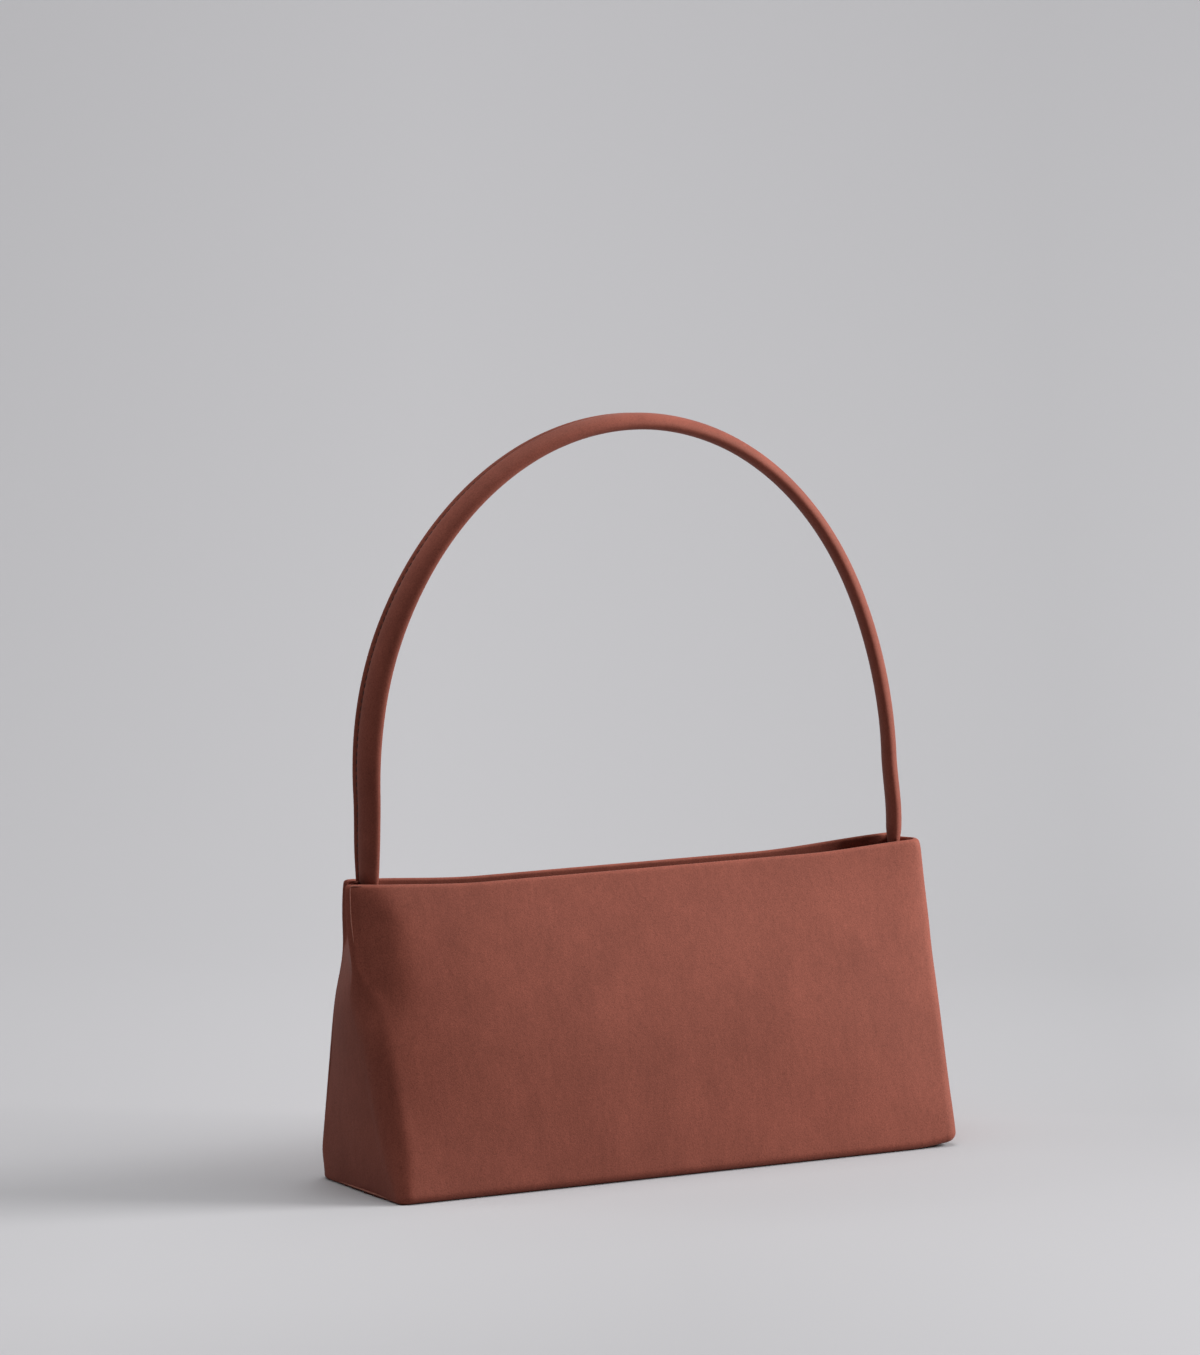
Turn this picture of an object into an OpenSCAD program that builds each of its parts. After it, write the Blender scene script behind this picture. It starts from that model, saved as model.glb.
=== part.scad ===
// Small shoulder bag: a soft wedge-shaped body on a flat base, a zip sunk into its mouth
// and one arched padded handle. The front faces -Y and the base lies on Z = 0.

/* [Body] */
// Width of the base
base_w = 278.5; // [230:0.5:330]
// Depth of the base
base_d = 78; // [64:0.5:95]
// Width of the front panel along the rim
front_rim_w = 286; // [275:0.5:340]
// Width of the back panel along the rim
back_rim_w = 276.5; // [265:0.5:335]
// Depth of the mouth over both panels
mouth_d = 19; // [18:0.5:26]
// Lean of the mouth towards the back, from the base's middle
lean = 8.5; // [0:0.5:12]
// Height of the rim at its middle
body_h = 129; // [110:1:160]
// Rise of the rim towards its ends
rim_rise = 2.7; // [0:0.1:4]
// Length of rim over which each end rises
rim_rise_len = 38; // [20:1:60]
// Radius of the upright front corners at the base
front_corner_r = 8; // [5:0.5:14]
// Radius of the upright back corners at the base
back_corner_r = 4.5; // [4.5:0.5:12]
// Radius of the upright corners at the rim
rim_corner_r = 4; // [2.8:0.1:5]
// Radius with which the walls turn under the base
edge_r = 4; // [3:0.5:6]
// Rise of the base towards its soft ends
base_rise = 1; // [0:0.5:4]
// Length of base over which each end rises
base_rise_len = 26; // [16:1:40]
// Height at which the walls no longer feel that rise
base_rise_h = 40; // [25:1:60]
// Swell of each end wall at half height
end_swell = 1; // [0:0.5:3]
// Depth of the fold that the handle pulls into each end
fold_d = 5; // [2:0.5:6]
// Length of that fold below the rim
fold_len = 26; // [18:1:36]

/* [Layers] */
// Thickness of the outer suede
suede_t = 1.2; // [0.9:0.1:1.5]
// Thickness of the stiff backing behind the front and the back
backing_t = 1; // [0.6:0.1:1.2]
// Thickness of the suede facing inside the mouth
facing_t = 1; // [0.7:0.1:1.2]
// Depth of the facing below the rim
facing_h = 26; // [22:1:36]
// Thickness of the lining cloth
lining_t = 0.5; // [0.4:0.1:0.8]
// Lap of the lining over the facing
lining_lap = 5; // [3:0.5:6]
// Thickness of the board in the base
board_t = 2; // [1.5:0.1:3]
// Glue line between two layers
glue_t = 0.1; // [0.08:0.01:0.2]

/* [Zip] */
// Length of the row of teeth
zip_len = 212; // [180:1:215]
// Drop of the zip below the rim
zip_drop = 12; // [10:0.5:13]
// Thickness of the zip tape
tape_t = 0.6; // [0.5:0.05:0.8]
// Depth of the tape's sewn edge, turned down along the facing
tape_turn = 6; // [4:0.5:6.5]
// Tape past each end of the teeth
tape_over = 12; // [8:1:13]
// Distance from one tooth to the next on one side
tooth_pitch = 2.4; // [2:0.1:3]
// Height of a tooth
tooth_h = 1.8; // [1.4:0.1:2.2]
// Half width of the closed row of teeth
teeth_half_w = 2.6; // [2.2:0.1:3]
// Reach of a tooth past the middle
tooth_reach = 0.6; // [0.4:0.05:0.8]
// Length of the slider
slider_len = 9.5; // [8:0.5:12]
// Thickness of the slider's plates
slider_t = 0.9; // [0.7:0.05:1.2]
// Length of the pull from its pivot
pull_len = 19; // [14:0.5:21]
// Width of the pull
pull_w = 6; // [5:0.2:7]
// Thickness of the pull
pull_t = 1.1; // [0.9:0.05:1.2]
// Thickness of the suede tabs over the zip's ends
end_tab_t = 1; // [0.7:0.05:1.2]

/* [Handle] */
// Width of the handle over its stitched edge
handle_w = 14; // [12:0.5:15]
// Thickness of the padded part
handle_t = 6.4; // [5:0.1:7]
// Width of the flat stitched edge
flange_w = 3; // [2.5:0.1:4]
// Thickness of the flat stitched edge
flange_t = 2.2; // [1.8:0.1:2.6]
// Thickness of the suede round the padding
sleeve_t = 1.2; // [0.9:0.1:1.4]
// Distance between the handle's legs, middle to middle
leg_spacing = 260; // [225:1:262]
// How far each leg stands out where it leaves the mouth
root_out = 1.5; // [0:0.5:2]
// Height above the base at which the legs begin to curve
spring_h = 169; // [155:0.5:190]
// Rise of the arch above that height, to the middle of the strap
arch_rise = 152.5; // [110:0.5:180]
// Lean of the handle to the back above the mouth
arch_lean = 5; // [0:0.5:6]
// Height over which the handle takes up that lean
arch_lean_h = 105; // [60:5:160]
// Turn of the strap's face to the front where it leaves the mouth
root_turn = 18; // [0:1:20]
// Turn of the strap's face to the front half way up the legs
leg_turn = 29; // [0:1:35]
// Turn of the strap's face to the front at the top
top_turn = 15; // [0:1:25]
// Thickness of the strap's flat ends inside the mouth
tab_t = 3; // [2:0.1:3.5]
// Width of the strap's flat ends
tab_w = 12; // [10:0.5:12.5]
// Length of the strap's ends below the rim
tab_drop = 22; // [16:0.5:24]

/* [Hidden] */
$fn = 32;

suede_brown = [0.52, 0.29, 0.24];
facing_brown = [0.45, 0.24, 0.2];
lining_brown = [0.36, 0.24, 0.2];
board_grey = [0.62, 0.58, 0.52];
tape_brown = [0.3, 0.17, 0.14];
metal_brown = [0.56, 0.45, 0.3];
padding_white = [0.86, 0.84, 0.8];

// Running clearance of the slider and its pull, and the least gap to a piece that moves
run_gap = 0.25;
seat_gap = 0.3;
// One overrun for all cuts
cut = 1;
// The least radius that a corner keeps on the inner layers
least_r = 0.15;

// Insets of the layers, counted inwards from the outer face of the suede
backing_in = suede_t + glue_t;
lining_in = backing_in + max(backing_t, facing_t) + glue_t;

// One level of the body, from the middle of the front round the right end to the middle of the back:
// shares of the straight stretch, then a corner, the end wall, a corner and the shares again
panel_shares = [0, 0.35, 0.7, 0.86, 1];
corner_n = 4;
half_n = 2 * (len(panel_shares) - 1 + corner_n + 2);
end_mid = half_n / 2;
back_corner = end_mid + 2;
// Levels of the walls as shares of the height below the fold and of the fold's own length
wall_shares = [0.18, 0.36, 0.54, 0.72, 0.88, 1];
fold_shares = [0.12, 0.24, 0.36, 0.68, 1];
// Share of the fold's length over which it opens out again
fold_open_share = 0.36;
// Share of the height from which the rim's rise is felt
rim_rise_share = 0.7;
edge_n = 3;

function along(a, b, s) = a + (b - a) * s;
function ramp(s) = let (c = min(1, max(0, s))) c * c * (3 - 2 * c);
function middle(p, q) = (p + q) / 2;

function front_half_w(z) = along(base_w, front_rim_w, z / body_h) / 2;
function back_half_w(z) = along(base_w, back_rim_w, z / body_h) / 2;
function half_d(z) = along(base_d, mouth_d, z / body_h) / 2;
function lean_at(z) = lean * (z - edge_r) / (body_h - edge_r);
function fold_at(z) = fold_d * ramp((z - body_h + fold_len) / (fold_len * fold_open_share));
function swell_at(z) = end_swell * sin(180 * min(1, max(0, z / (body_h - fold_len))));
// Middle of an end wall, on its outer face
function end_x(z) = (front_half_w(z) + back_half_w(z)) / 2 - fold_at(z) + swell_at(z);

// Points of half a level, each set in by the same distance
function half_level(z, inset) =
    let (fw = front_half_w(z) - inset, bw = back_half_w(z) - inset, hd = half_d(z) - inset,
         fr = max(least_r, along(front_corner_r, rim_corner_r, z / body_h) - inset),
         br = max(least_r, along(back_corner_r, rim_corner_r, z / body_h) - inset),
         front_end = [fw, fr - hd], back_end = [bw, hd - br], fold = [end_x(z) - inset, 0])
    concat([for (s = panel_shares) [s * (fw - fr), -hd]],
           [for (k = [1:corner_n]) let (a = 90 * k / corner_n)
               [fw - fr + fr * sin(a), fr - hd - fr * cos(a)]],
           [middle(front_end, fold), fold, middle(fold, back_end)],
           [for (k = [0:corner_n]) let (a = 90 * k / corner_n)
               [bw - br + br * cos(a), hd - br + br * sin(a)]],
           [for (k = [len(panel_shares) - 2:-1:0]) [panel_shares[k] * (bw - br), hd]]);

// The soft ends of the base and of the rim rise a little
function settle(p) =
    let (at_rim = ramp((abs(p.x) - front_rim_w / 2 + rim_rise_len) / rim_rise_len),
         at_base = ramp((abs(p.x) - base_w / 2 + base_rise_len) / base_rise_len),
         up = (p.z / body_h - rim_rise_share) / (1 - rim_rise_share))
    [p.x, p.y, p.z + rim_rise * at_rim * ramp(up) + base_rise * at_base * (1 - ramp(p.z / base_rise_h))];

// Stations from k0 to k1 of the level at z. They count from the middle of the front to the right,
// and minus values lie on the left
function level(z, inset, k0, k1) =
    let (half = half_level(z, inset), n = 2 * half_n)
    [for (k = [k0:k1]) let (i = (k + n) % n, p = i <= half_n ? half[i] : half[n - i])
        settle([i <= half_n ? p.x : -p.x, p.y + lean_at(z), z])];

// Heights of the levels of a sheet that runs from z0 to z1
function heights(z0, z1) =
    let (low = body_h - fold_len,
         all = concat([for (s = wall_shares) s * low], [for (s = fold_shares) low + s * fold_len]))
    concat([z0], [for (z = all) if (z > z0 + seat_gap && z < z1 - seat_gap) z], [z1]);

// Face of a wall that turns under the base with the edge radius
function turned_face(inset, k0, k1) =
    concat([for (k = [0:edge_n]) let (a = 90 * k / edge_n, r = edge_r - inset)
               level(inset + r * (1 - cos(a)), inset + r * (1 - sin(a)), k0, k1)],
           [for (z = heights(edge_r, body_h)) if (z > edge_r) level(z, inset, k0, k1)]);

function plain_face(inset, z0, z1, k0, k1) = [for (z = heights(z0, z1)) level(z, inset, k0, k1)];

// Triangles of a grid of n points a row, m rows, whose first point has the index given
function grid_faces(n, m, first, inward = false, closed = false) =
    [for (j = [0:m - 2]) for (i = [0:n - (closed ? 1 : 2)])
        let (a = first + j * n + i, b = first + j * n + (i + 1) % n, c = b + n, d = a + n)
        each (inward ? [[a, c, d], [a, b, c]] : [[a, d, c], [a, c, b]])];

// Triangles between an outer line of points and the inner line behind it
function strip_faces(outer, inner) =
    [for (i = [0:len(outer) - 2])
        each [[outer[i], outer[i + 1], inner[i + 1]], [outer[i], inner[i + 1], inner[i]]]];

// A sheet with thickness: two grids of points and the edge all round them
module sheet(outer, inner) {
    m = len(outer);
    n = len(outer[0]);
    edge = concat([for (i = [0:n - 1]) i], [for (j = [1:m - 1]) j * n + n - 1],
                  [for (i = [n - 2:-1:0]) (m - 1) * n + i], [for (j = [m - 2:-1:0]) j * n]);
    polyhedron([for (row = concat(outer, inner)) each row],
        concat(grid_faces(n, m, 0), grid_faces(n, m, m * n, true),
               strip_faces(edge, [for (i = edge) i + m * n])));
}

// A flat sheet in the base, inside the level at z. Its lower face is cut into strips across the bag,
// with a fan of triangles over the last stations at each end
fan_n = 3;
module base_sheet(z, t, inset) {
    n = 2 * half_n;
    front = end_mid - fan_n;
    back = end_mid + fan_n;
    ring = [for (i = [0:n]) i % n];
    right = concat([for (i = [0:front - 1])
            each [[i, i + 1, half_n - i - 1], [i, half_n - i - 1, half_n - i]]],
        [for (i = [front + 1:end_mid - 1]) [front, i, i + 1]], [[front, end_mid, back]],
        [for (i = [end_mid:back - 2]) [back, i, i + 1]]);
    lower = concat(right, [for (f = right) [for (i = [2:-1:0]) (n - f[i]) % n]]);
    polyhedron(concat(level(z, inset, 0, n - 1), level(z + t, inset, 0, n - 1)),
        concat(lower, [for (f = lower) [f[0] + n, f[2] + n, f[1] + n]],
               [for (f = strip_faces(ring, [for (i = ring) i + n])) [f[0], f[2], f[1]]]));
}

module front_panel() {
    color(suede_brown)
        sheet(turned_face(0, -back_corner, back_corner), turned_face(suede_t, -back_corner, back_corner));
}

module back_panel() {
    last = 2 * half_n - back_corner;
    color(suede_brown) sheet(turned_face(0, back_corner, last), turned_face(suede_t, back_corner, last));
}

module base_panel() {
    color(suede_brown) base_sheet(0, suede_t, edge_r + glue_t);
}

// Backing behind a wall, from just above the edge radius to the facing
module wall_backing(k0, k1) {
    z0 = edge_r + board_t + suede_t + lining_t + 2 * glue_t;
    z1 = body_h - facing_h - seat_gap;
    color(board_grey)
        sheet(plain_face(backing_in, z0, z1, k0, k1), plain_face(backing_in + backing_t, z0, z1, k0, k1));
}

module front_backing() {
    wall_backing(1 - len(panel_shares), len(panel_shares) - 1);
}

module back_backing() {
    wall_backing(half_n + 1 - len(panel_shares), half_n + len(panel_shares) - 1);
}

module rounded_plate(w, d, t, r) {
    linear_extrude(t) {
        square([w - 2 * r, d], center = true);
        square([w, d - 2 * r], center = true);
        for (x = [-1, 1], y = [-1, 1]) translate([x * (w / 2 - r), y * (d / 2 - r)]) circle(r);
    }
}

// The board covers the level strips of the base and stops short of its soft ends
module base_board() {
    last_level = len(panel_shares) - 2;
    half = level(0, edge_r + glue_t, last_level, last_level)[0].x;
    color(board_grey) translate([0, 0, suede_t + glue_t])
        rounded_plate(2 * half, base_d - 2 * (edge_r + glue_t), board_t, back_corner_r / 2);
}

module facing(k0, k1) {
    z0 = body_h - facing_h;
    color(facing_brown)
        sheet(plain_face(backing_in, z0, body_h, k0, k1),
              plain_face(backing_in + facing_t, z0, body_h, k0, k1));
}

module front_facing() {
    facing(-end_mid, end_mid);
}

module back_facing() {
    facing(end_mid, 2 * half_n - end_mid);
}

lining_floor = suede_t + board_t + 2 * glue_t;

module wall_lining(k0, k1) {
    z0 = lining_floor + lining_t + glue_t;
    z1 = body_h - facing_h + lining_lap;
    color(lining_brown)
        sheet(plain_face(lining_in, z0, z1, k0, k1), plain_face(lining_in + lining_t, z0, z1, k0, k1));
}

module front_lining() {
    wall_lining(-end_mid, end_mid);
}

module back_lining() {
    wall_lining(end_mid, 2 * half_n - end_mid);
}

module base_lining() {
    color(lining_brown) base_sheet(lining_floor, lining_t, lining_in);
}

// The zip lies level between the facings
zip_z = body_h - zip_drop;
zip_y = lean_at(zip_z);
wall_in = backing_in + facing_t + glue_t;
function wall_y(z) = half_d(z) - wall_in;
tape_inner = teeth_half_w + glue_t;
tape_half_len = zip_len / 2 + tape_over;
tab_x = min([for (z = heights(body_h - tab_drop, body_h)) end_x(z)]) - backing_in - facing_t - seat_gap;

module along_x(length) {
    rotate([90, 0, 90]) linear_extrude(length, center = true) children();
}

// A level strip on one side of the teeth, whose outer edge is turned down and sewn to the facing
module zip_tape(side) {
    top = zip_z + tape_t / 2;
    under = zip_z - tape_t / 2;
    foot = under - tape_turn;
    color(tape_brown) along_x(2 * tape_half_len)
        polygon([[zip_y + side * tape_inner, top], [lean_at(top) + side * wall_y(top), top],
                 [lean_at(foot) + side * wall_y(foot), foot],
                 [lean_at(foot) + side * (wall_y(foot) - tape_t), foot],
                 [lean_at(under) + side * (wall_y(under) - tape_t), under],
                 [zip_y + side * tape_inner, under]]);
}

module zip_tape_front() {
    zip_tape(-1);
}

module zip_tape_back() {
    zip_tape(1);
}

// Teeth of the front tape: a bead with one tooth every pitch, as wide as its gap less the clearance.
// The back tape's teeth are the same, turned half round, so a tooth stands a quarter of a pitch on
tooth_gap = 0.1;
tooth_place_share = 0.25;
module zip_teeth(turn) {
    n = floor(zip_len / tooth_pitch) - 1;
    half = n * tooth_pitch / 2;
    w = tooth_pitch / 2 - 2 * tooth_gap;
    root = -tooth_reach - tooth_gap;
    comb = [for (i = [n - 1:-1:0]) let (x = (i + tooth_place_share) * tooth_pitch - half)
        each [[x + w / 2, root], [x + w / 2, tooth_reach], [x - w / 2, tooth_reach], [x - w / 2, root]]];
    color(metal_brown) translate([0, zip_y, zip_z - tooth_h / 2]) rotate(turn) linear_extrude(tooth_h)
        polygon(concat([[-half, root], [-half, -teeth_half_w], [half, -teeth_half_w], [half, root]], comb));
}

module zip_teeth_front() {
    zip_teeth(0);
}

module zip_teeth_back() {
    zip_teeth(180);
}

stop_len = 2.5;
stop_h = 2.4;
stop_x = zip_len / 2 + glue_t;

// Two crimps at the left, where the slider rests with the zip closed
module zip_top_stops() {
    w = teeth_half_w / 2 - glue_t;
    color(metal_brown) for (y = [glue_t, -w - glue_t])
        translate([-stop_x - stop_len, zip_y + y, zip_z - stop_h / 2]) cube([stop_len, w, stop_h]);
}

// One staple across both tapes at the right
module zip_bottom_stop() {
    color(metal_brown) translate([stop_x, zip_y - teeth_half_w, zip_z - stop_h / 2])
        cube([stop_len, 2 * teeth_half_w, stop_h]);
}

// Suede tab folded round the end of both tapes, up to the handle's end
module zip_end_tab(side) {
    x0 = stop_x + stop_len + seat_gap;
    x1 = tab_x - tab_t - 2 * seat_gap;
    inner = tape_t / 2 + glue_t;
    w = wall_y(zip_z + inner + end_tab_t) - tape_t - seat_gap;
    color(suede_brown) translate([side * (x0 + x1) / 2, zip_y, zip_z]) difference() {
        cube([x1 - x0, 2 * w, 2 * (inner + end_tab_t)], center = true);
        translate([side * (tape_half_len + glue_t - (x0 + x1) / 2 - (x1 - x0)), 0, 0])
            cube([2 * (x1 - x0), 2 * (w + cut), 2 * inner], center = true);
    }
}

module zip_end_tab_left() {
    zip_end_tab(-1);
}

module zip_end_tab_right() {
    zip_end_tab(1);
}

// The slider rests at the left end of the teeth
slider_x = slider_len / 2 - zip_len / 2 + run_gap;
slider_half_w = teeth_half_w + run_gap + slider_t;
plate_z = tooth_h / 2 + run_gap;
bridge_w = 1.8;
bridge_len = 6;
bridge_wall = 1.1;
window_h = 2;
pull_z = zip_z + plate_z + slider_t + window_h / 2;

// One plate of the slider with its two side lips, which stop short of the tape
module slider_plate() {
    lip = tape_t / 2 + run_gap;
    translate([0, 0, plate_z]) rounded_plate(slider_len, 2 * slider_half_w, slider_t, slider_t);
    for (y = [-slider_half_w, slider_half_w - slider_t])
        translate([slider_t - slider_len / 2, y, lip])
            cube([slider_len - 2 * slider_t, slider_t, plate_z + slider_t / 2 - lip]);
}

module zip_slider() {
    color(metal_brown) translate([slider_x, zip_y, zip_z]) {
        slider_plate();
        mirror([0, 0, 1]) slider_plate();
        translate([0, 0, plate_z + slider_t]) difference() {
            translate([0, 0, (window_h + bridge_wall - slider_t / 2) / 2])
                cube([bridge_len, bridge_w, window_h + bridge_wall + slider_t / 2], center = true);
            translate([0, 0, window_h / 2])
                cube([bridge_len - 2 * bridge_wall, bridge_w + cut, window_h], center = true);
        }
    }
}

// The pull lies along the teeth and turns on the round bar under the slider's bridge
module zip_pull() {
    bar_r = pull_t / 2;
    arm_w = (pull_w - bridge_w) / 2 - seat_gap;
    reach = bridge_len / 2 + bridge_wall;
    color(metal_brown) translate([slider_x, zip_y, pull_z]) {
        rotate([90, 0, 0]) cylinder(h = pull_w - 2 * bar_r, r = bar_r, center = true);
        difference() {
            translate([pull_len / 2 - bar_r, 0, -pull_t / 2]) linear_extrude(pull_t) {
                square([pull_len - pull_w, pull_w], center = true);
                translate([pull_len / 2 - pull_w / 2, 0]) circle(pull_w / 2);
                translate([pull_w / 4 - pull_len / 2, 0])
                    square([pull_w / 2, pull_w - 2 * bar_r], center = true);
            }
            translate([-cut - bar_r, -bridge_w / 2 - seat_gap, -cut - pull_t / 2])
                cube([reach + cut + bar_r, bridge_w + 2 * seat_gap, pull_t + 2 * cut]);
            translate([pull_len - pull_w / 2 - bar_r, 0, 0])
                cylinder(h = pull_t + 2 * cut, r = arm_w / 2, center = true);
        }
    }
}

// The handle bends where it leaves the mouth, about a line across both legs
pivot_z = body_h + rim_rise + handle_w / 2 + 2 * seat_gap;
leg_x = leg_spacing / 2;
pad_half_w = (handle_w - flange_w) / 2;
pad_mid = -flange_w / 2;

// Stations of the arch from the left pivot to the right one: straight legs, then half an ellipse
leg_shares = [0, 0.33, 0.67];
arch_n = 40;
stations = concat([for (s = leg_shares) [-leg_x, along(pivot_z, spring_h, s)]],
    [for (k = [0:arch_n]) let (a = 180 * k / arch_n) [-leg_x * cos(a), spring_h + arch_rise * sin(a)]],
    [for (k = [len(leg_shares) - 1:-1:0]) [leg_x, along(pivot_z, spring_h, leg_shares[k])]]);
tangents = concat([for (s = leg_shares) [0, 1]],
    [for (k = [0:arch_n]) let (a = 180 * k / arch_n, t = [leg_x * sin(a), arch_rise * cos(a)]) t / norm(t)],
    [for (s = leg_shares) [0, -1]]);

function turn_at(p) = p[1] < spring_h
    ? along(root_turn, leg_turn, ramp((p[1] - pivot_z) / (spring_h - pivot_z)))
    : along(leg_turn, top_turn, ramp((p[1] - spring_h) / arch_rise));
// Distance that the strap stands out, and its place from front to back
function out_at(p) = root_out * (1 - ramp((p[1] - pivot_z) / (spring_h - pivot_z))) * sign(p[0]);
function depth_at(z) = lean + arch_lean * ramp((z - pivot_z) / arch_lean_h);

// A point of the strap's section: d across the strap to its stitched back edge, n outwards
function strap_point(k, q) =
    let (p = stations[k], t = tangents[k], a = turn_at(p),
         across = q[0] * sin(a) + q[1] * cos(a), depth = q[0] * cos(a) - q[1] * sin(a))
    [p[0] + out_at(p) - t[1] * across, depth_at(p[1]) + depth, p[1] + t[0] * across];

// Outer line of the section: the padded part, then the flat edge. The inner line is the same with
// the suede's thickness taken off
section_step = 30;
flange_turn = 12;
outer_section = concat([for (a = [section_step:section_step:360 - section_step])
        [pad_mid + pad_half_w * cos(a), handle_t / 2 * sin(a)]],
    [[handle_w / 2, -flange_t / 2], [handle_w / 2, flange_t / 2]]);
function hollow_section(gap) = let (w = pad_half_w - sleeve_t - gap, t = handle_t / 2 - sleeve_t - gap)
    concat([for (a = [section_step:section_step:360 - section_step]) [pad_mid + w * cos(a), t * sin(a)]],
           [for (a = [-flange_turn, flange_turn]) [pad_mid + w * cos(a), t * sin(a)]]);

// Below the pivot each leg ends in a half round, so that it can tip over its own end
end_turns = [75, 50, 25];
function strap_end(k, section, a) =
    [for (q = section) let (p = strap_point(k, q))
        [p.x, along(lean, p.y, cos(a)), pivot_z - handle_w / 2 * sin(a)]];
function strap_rings(section) = let (last = len(stations) - 1)
    concat([for (a = end_turns) strap_end(0, section, a)],
           [for (k = [0:last]) [for (q = section) strap_point(k, q)]],
           [for (i = [len(end_turns) - 1:-1:0]) strap_end(last, section, end_turns[i])]);

module handle_cover() {
    outer = strap_rings(outer_section);
    inner = strap_rings(hollow_section(0));
    n = len(outer_section);
    m = len(outer);
    ring = [for (i = [0:n]) i % n];
    back = [for (i = [n:-1:0]) (m - 1) * n + i % n];
    color(suede_brown) polyhedron([for (row = concat(outer, inner)) each row],
        concat(grid_faces(n, m, 0, false, true), grid_faces(n, m, m * n, true, true),
               strip_faces(ring, [for (i = ring) i + m * n]), strip_faces(back, [for (i = back) i + m * n])));
}

module handle_core() {
    section = hollow_section(glue_t);
    n = len(section);
    m = len(stations);
    rings = [for (k = [0:m - 1]) [for (q = section) strap_point(k, q)]];
    color(padding_white) polyhedron([for (row = rings) each row],
        concat(grid_faces(n, m, 0, false, true), [for (i = [1:n - 2]) [0, i, i + 1]],
               [for (i = [1:n - 2]) [(m - 1) * n, (m - 1) * n + i + 1, (m - 1) * n + i]]));
}

// Flat end of the strap, sewn to the facing in the fold
module handle_tab(side) {
    top = pivot_z - handle_w / 2 - seat_gap;
    foot = body_h - tab_drop;
    color(suede_brown) translate([side * (tab_x - tab_t / 2), lean_at((top + foot) / 2), foot])
        rounded_plate(tab_t, tab_w, top - foot, tab_t / 4);
}

module handle_tab_left() {
    handle_tab(-1);
}

module handle_tab_right() {
    handle_tab(1);
}

front_panel();
back_panel();
base_panel();
front_backing();
back_backing();
base_board();
front_facing();
back_facing();
front_lining();
back_lining();
base_lining();
zip_tape_front();
zip_tape_back();
zip_teeth_front();
zip_teeth_back();
zip_top_stops();
zip_bottom_stop();
zip_end_tab_left();
zip_end_tab_right();
zip_slider();
zip_pull();
handle_cover();
handle_core();
handle_tab_left();
handle_tab_right();
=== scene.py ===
import math
import bpy
from mathutils import Matrix, Vector, noise


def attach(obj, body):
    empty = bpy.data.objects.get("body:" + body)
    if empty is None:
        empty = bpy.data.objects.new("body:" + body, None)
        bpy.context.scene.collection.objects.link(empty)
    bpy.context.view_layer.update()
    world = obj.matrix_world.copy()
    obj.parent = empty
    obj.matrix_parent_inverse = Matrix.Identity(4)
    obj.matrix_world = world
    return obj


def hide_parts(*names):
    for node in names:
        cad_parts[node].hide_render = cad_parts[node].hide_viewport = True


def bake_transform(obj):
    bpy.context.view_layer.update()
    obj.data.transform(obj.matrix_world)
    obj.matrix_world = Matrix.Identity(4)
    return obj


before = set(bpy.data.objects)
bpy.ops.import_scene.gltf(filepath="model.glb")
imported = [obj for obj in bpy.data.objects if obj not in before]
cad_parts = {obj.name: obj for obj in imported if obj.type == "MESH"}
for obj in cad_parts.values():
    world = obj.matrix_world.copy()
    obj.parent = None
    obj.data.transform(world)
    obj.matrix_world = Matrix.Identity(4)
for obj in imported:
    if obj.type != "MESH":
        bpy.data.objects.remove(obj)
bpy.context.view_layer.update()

# The front of the body is one skin of chestnut suede that wraps round both ends to the back corners.
# Its foot is turned under to the base seam, its top is folded over the rim to the inside, and each end
# is drawn in by a gusset fold where the handle is sewn.
MM = 0.001
LEFT, RIGHT = -1, 1
BASE_W, BASE_D = 278.5, 78
FRONT_RIM_W, BACK_RIM_W, MOUTH_D = 286, 276.5, 19
LEAN, BODY_H = 8.5, 129
RIM_RISE = {("front", LEFT): 2.9, ("front", RIGHT): 2.3, ("back", LEFT): 3.4, ("back", RIGHT): 3.6}
RIM_RISE_LEN = {("front", LEFT): 66, ("front", RIGHT): 60, ("back", LEFT): 72, ("back", RIGHT): 80}
RIM_SAG, RISE_FROM_SHARE, RISE_OVER_SHARE = 0.5, 0.7, 0.3
EDGE_R, END_EDGE_R = 4, {LEFT: 1.3, RIGHT: 4}
BASE_RISE, BASE_RISE_LEN, BASE_RISE_H = {LEFT: 0.1, RIGHT: 1.8}, 24, 40
END_SWELL, END_SOFT = 1, 0.004
FOLD_D, FOLD_FOOT, FOLD_APEX, FOLD_REACH, FOLD_SOFT = 5, 101, 119, 1.03, 0.035
TUCK, TUCK_H, FRONT_TUCK_SHARE = {LEFT: 0.3, RIGHT: 2.2}, 15, 0.3
SEAM_BOW, SEAM_FROM_SHARE, SEAM_TO_SHARE, SEAM_TURN, SEAM_END_SHARE = 72, 0.06, 0.66, 86, 0.96
SUEDE_T = 1.2
RIM_R, TURNED_IN = 1.3, 4
FOOT_R, BACK_R, LEAST_R = 6.5, 3.4, 0.3
BACK_FOOT_R, BACK_FOOT_H = {LEFT: 8.5, RIGHT: 3.4}, 15
SOFT_R, CRISP_R = {LEFT: 11, RIGHT: 7.2}, {LEFT: 1.7, RIGHT: 6}
SOFT_FROM, CRISP_FROM, CRISP_UP = 25, 76, 98
FACET_FROM, FACET_FULL, FACET_TOP, FACET_SOFT, FACET_FOOT_W = 56, 90, 112, 2.2, 2
FACET_W, FACET_RIM_W, FACET_SLOPE = {LEFT: 19, RIGHT: 9}, {LEFT: 13, RIGHT: 5}, {LEFT: 0.4, RIGHT: 0.1}
CROWN, CROWN_POWER, BACK_CROWN_SHARE = 5, 3.6, 0.6
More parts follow.
